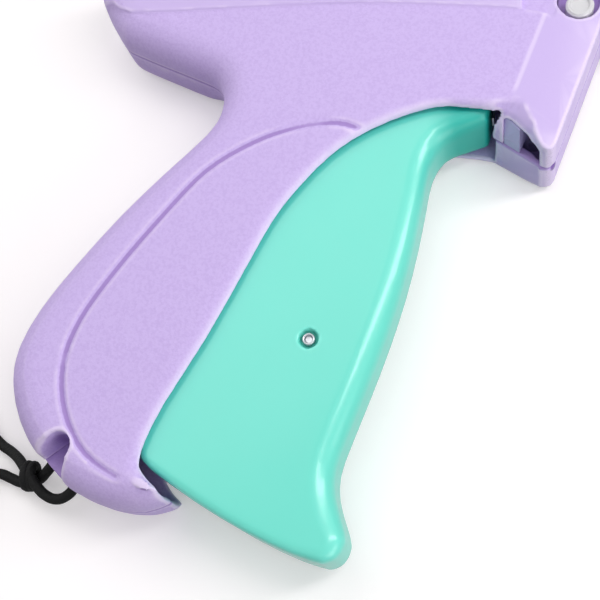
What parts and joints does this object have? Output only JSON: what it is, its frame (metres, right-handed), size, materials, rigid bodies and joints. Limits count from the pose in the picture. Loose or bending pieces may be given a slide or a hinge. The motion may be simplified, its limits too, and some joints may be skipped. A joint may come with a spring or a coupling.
{
  "type": "garment tag attacher",
  "caption": "Hand-held attacher that pushes plastic garment-tag fasteners through a slotted needle when its long trigger is squeezed.",
  "frame": {"origin": "on the resting right side, on the trigger's hinge line", "axes": "+X along the needle, +Y towards the roof, +Z out of the left side that shows"},
  "size_m": [0.2259, 0.1785, 0.0256],
  "materials": {
    "housing": "fine spark-eroded grain",
    "trigger": "satin",
    "insert": "satin",
    "hub": "gloss",
    "lever": "satin",
    "gearing": "satin",
    "steel": "bright",
    "cord": "braided"
  },
  "bodies": {
    "housing": {"right_shell": "housing", "left_shell": "housing", "case_screws": "steel", "trigger_pin": "steel", "lever_pin": "steel", "return_spring": "steel", "pinion_pin": "steel", "rod_guide": "gearing", "needle_hub": "hub", "needle": "steel", "cutter_blade": "steel", "feed_guide": "insert", "wheel_pin": "steel", "detent_leaf": "steel", "lanyard_post": "steel", "lanyard_knot": "cord", "lanyard_strand_a": "cord", "lanyard_strand_b": "cord", "lanyard_coil": "cord"},
    "trigger": {"trigger": "trigger", "roll_pin": "steel", "feed_pawl": "steel"},
    "lever": {"drive_lever": "lever"},
    "pinion": {"pinion": "gearing"},
    "slide": {"push_slide": "gearing", "push_rod": "steel"},
    "wheel": {"feed_wheel": "gearing"}
  },
  "joints": [
    {"name": "trigger_squeeze", "type": "hinge", "parent": "housing", "child": "trigger", "pos_m": [0, 0, 0.0125], "axis": [0, 0, -1], "range_deg": [0, 11.5], "stiffness_Nm_per_rad": 2, "springref_deg": -8.59},
    {"name": "lever_swing", "type": "hinge", "parent": "housing", "child": "lever", "pos_m": [-0.106, -0.088, 0.0125], "axis": [0, 0, 1], "range_deg": [0, 10.85]},
    {"name": "pinion_turn", "type": "hinge", "parent": "housing", "child": "pinion", "pos_m": [-0.04, 0.003, 0.0125], "axis": [0, 0, -1], "range_deg": [0, 163.35]},
    {"name": "rod_push", "type": "slide", "parent": "housing", "child": "slide", "axis": [1, 0, 0], "range_m": [0, 0.04276]},
    {"name": "wheel_turn", "type": "hinge", "parent": "housing", "child": "wheel", "pos_m": [0.0112, 0.008, 0.0125], "axis": [0, 0, 1], "continuous": true}
  ],
  "couplings": [
    {"joint": "lever_swing", "follows": "trigger_squeeze", "ratio": 0.94298},
    {"joint": "pinion_turn", "follows": "trigger_squeeze", "ratio": 14.201},
    {"joint": "rod_push", "follows": "trigger_squeeze", "m_per_rad": 0.21301}
  ]
}
